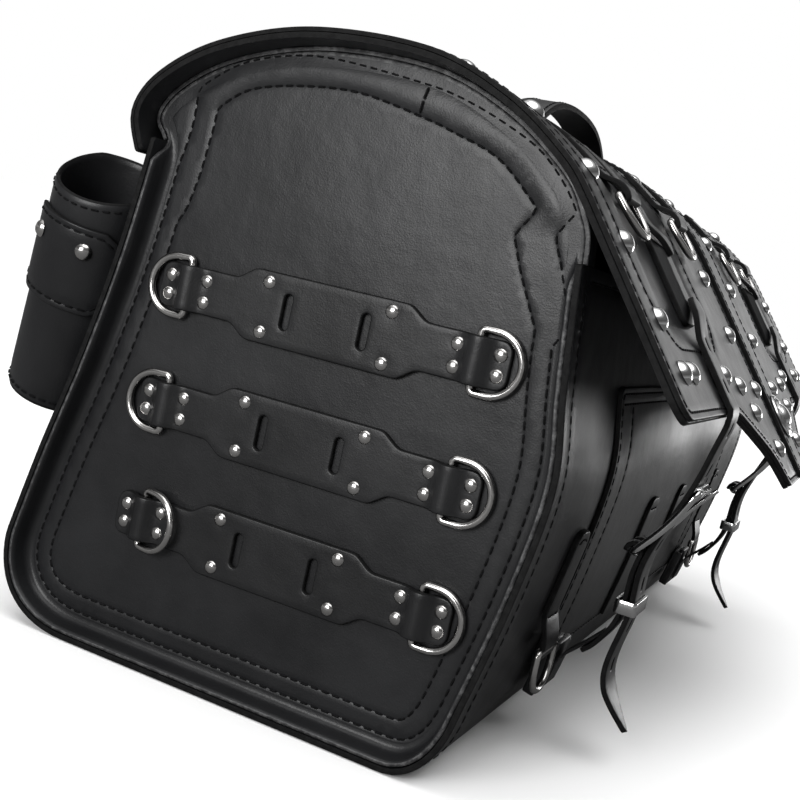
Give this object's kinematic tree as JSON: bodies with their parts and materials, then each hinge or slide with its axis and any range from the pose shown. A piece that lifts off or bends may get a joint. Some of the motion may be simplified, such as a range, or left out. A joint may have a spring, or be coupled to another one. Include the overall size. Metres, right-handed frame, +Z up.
{
  "type": "motorcycle travel bag",
  "caption": "Long black leather motorcycle bag with an arched studded lid, two buckled straps, riveted mounting plates with D-rings and a bottle pouch.",
  "frame": {"origin": "middle of the footprint, on the surface that the bag stands on", "axes": "+X along the bag, away from the end with the mounting plates; -Y is the front with the buckles; +Z up"},
  "size_m": [0.6466, 0.4542, 0.3886],
  "materials": {
    "leather": "satin",
    "strap_leather": "satin",
    "edge_leather": "satin",
    "nickel": "polished",
    "chrome": "polished",
    "clip_plastic": "satin",
    "board": "matte"
  },
  "bodies": {
    "bag": {"body_wrap": "leather", "end_panel_left": "leather", "arch_binding_left": "edge_leather", "end_panel_right": "leather", "arch_binding_right": "edge_leather", "bottom_board": "board", "front_panel": "leather", "mount_plate_top": "strap_leather", "mount_plate_middle": "strap_leather", "mount_plate_bottom": "strap_leather", "front_ring_strap_left": "strap_leather", "front_ring_strap_right": "strap_leather", "hinge_strip": "leather", "clip_socket_left": "clip_plastic", "clip_socket_right": "clip_plastic", "bottle_pouch": "leather", "pouch_base": "leather", "pouch_band": "leather"},
    "lid": {"lid_shell": "leather", "lid_overlay": "leather", "lid_center_strip": "leather", "concho": "chrome", "carry_handle": "strap_leather", "handle_patch_left": "strap_leather", "handle_patch_right": "strap_leather", "lid_ring_tab_1": "strap_leather", "lid_ring_tab_2": "strap_leather", "lid_ring_tab_3": "strap_leather", "lid_ring_tab_4": "strap_leather", "lid_strap_left": "strap_leather", "strap_loop_left": "strap_leather", "lid_strap_right": "strap_leather", "strap_loop_right": "strap_leather"},
    "mount_ring_top_front": {"mount_ring_top_front": "nickel"},
    "mount_ring_top_back": {"mount_ring_top_back": "nickel"},
    "mount_ring_middle_front": {"mount_ring_middle_front": "nickel"},
    "mount_ring_middle_back": {"mount_ring_middle_back": "nickel"},
    "mount_ring_bottom_front": {"mount_ring_bottom_front": "nickel"},
    "mount_ring_bottom_back": {"mount_ring_bottom_back": "nickel"},
    "front_ring_left": {"front_ring_left": "nickel"},
    "front_ring_right": {"front_ring_right": "nickel"},
    "lid_ring_1": {"lid_ring_1": "nickel"},
    "lid_ring_2": {"lid_ring_2": "nickel"},
    "lid_ring_3": {"lid_ring_3": "nickel"},
    "lid_ring_4": {"lid_ring_4": "nickel"},
    "closure_left": {"closure_strap_left": "strap_leather", "buckle_frame_left": "chrome", "chape_left": "strap_leather", "keeper_left": "chrome", "clip_hook_left": "clip_plastic"},
    "buckle_prong_left": {"buckle_prong_left": "chrome"},
    "closure_right": {"closure_strap_right": "strap_leather", "buckle_frame_right": "chrome", "chape_right": "strap_leather", "keeper_right": "chrome", "clip_hook_right": "clip_plastic"},
    "buckle_prong_right": {"buckle_prong_right": "chrome"}
  },
  "joints": [
    {"name": "lid_hinge", "type": "hinge", "parent": "bag", "child": "lid", "pos_m": [0.0013, 0.128, 0.2785], "axis": [-1, 0, 0], "range_deg": [0, 70]},
    {"name": "closure_swing_left", "type": "hinge", "parent": "lid", "child": "closure_left", "pos_m": [-0.1937, -0.1949, 0.2107], "axis": [-1, 0, 0], "range_deg": [0, 60]},
    {"name": "prong_lift_left", "type": "hinge", "parent": "closure_left", "child": "buckle_prong_left", "pos_m": [-0.1937, -0.1621, 0.1235], "axis": [1, 0, 0], "range_deg": [0, 12]},
    {"name": "closure_swing_right", "type": "hinge", "parent": "lid", "child": "closure_right", "pos_m": [0.1963, -0.1949, 0.2107], "axis": [-1, 0, 0], "range_deg": [0, 60]},
    {"name": "prong_lift_right", "type": "hinge", "parent": "closure_right", "child": "buckle_prong_right", "pos_m": [0.1963, -0.1621, 0.1235], "axis": [1, 0, 0], "range_deg": [0, 12]},
    {"name": "mount_ring_top_front_swing", "type": "hinge", "parent": "bag", "child": "mount_ring_top_front", "pos_m": [-0.3086, -0.084, 0.212], "axis": [0, 0, -1], "range_deg": [0, 165]},
    {"name": "mount_ring_top_back_swing", "type": "hinge", "parent": "bag", "child": "mount_ring_top_back", "pos_m": [-0.3086, 0.088, 0.212], "axis": [0, 0, 1], "range_deg": [0, 165]},
    {"name": "mount_ring_middle_front_swing", "type": "hinge", "parent": "bag", "child": "mount_ring_middle_front", "pos_m": [-0.3086, -0.084, 0.1464], "axis": [0, 0, -1], "range_deg": [0, 165]},
    {"name": "mount_ring_middle_back_swing", "type": "hinge", "parent": "bag", "child": "mount_ring_middle_back", "pos_m": [-0.3086, 0.088, 0.1464], "axis": [0, 0, 1], "range_deg": [0, 165]},
    {"name": "mount_ring_bottom_front_swing", "type": "hinge", "parent": "bag", "child": "mount_ring_bottom_front", "pos_m": [-0.3086, -0.084, 0.0808], "axis": [0, 0, -1], "range_deg": [0, 165]},
    {"name": "mount_ring_bottom_back_swing", "type": "hinge", "parent": "bag", "child": "mount_ring_bottom_back", "pos_m": [-0.3086, 0.088, 0.0808], "axis": [0, 0, -1], "range_deg": [0, 165]},
    {"name": "front_ring_left_swing", "type": "hinge", "parent": "bag", "child": "front_ring_left", "pos_m": [-0.2317, -0.1344, 0.065], "axis": [-1, 0, 0], "range_deg": [-8, 150]},
    {"name": "front_ring_right_swing", "type": "hinge", "parent": "bag", "child": "front_ring_right", "pos_m": [0.2343, -0.1344, 0.065], "axis": [-1, 0, 0], "range_deg": [-8, 150]},
    {"name": "lid_ring_1_swing", "type": "hinge", "parent": "lid", "child": "lid_ring_1", "pos_m": [-0.2307, -0.1173, 0.3091], "axis": [-1, 0, 0], "range_deg": [0, 150]},
    {"name": "lid_ring_2_swing", "type": "hinge", "parent": "lid", "child": "lid_ring_2", "pos_m": [-0.1027, -0.1192, 0.311], "axis": [-1, 0, 0], "range_deg": [0, 150]},
    {"name": "lid_ring_3_swing", "type": "hinge", "parent": "lid", "child": "lid_ring_3", "pos_m": [0.1053, -0.1192, 0.311], "axis": [-1, 0, 0], "range_deg": [0, 150]},
    {"name": "lid_ring_4_swing", "type": "hinge", "parent": "lid", "child": "lid_ring_4", "pos_m": [0.2333, -0.1173, 0.3091], "axis": [-1, 0, 0], "range_deg": [0, 150]}
  ]
}
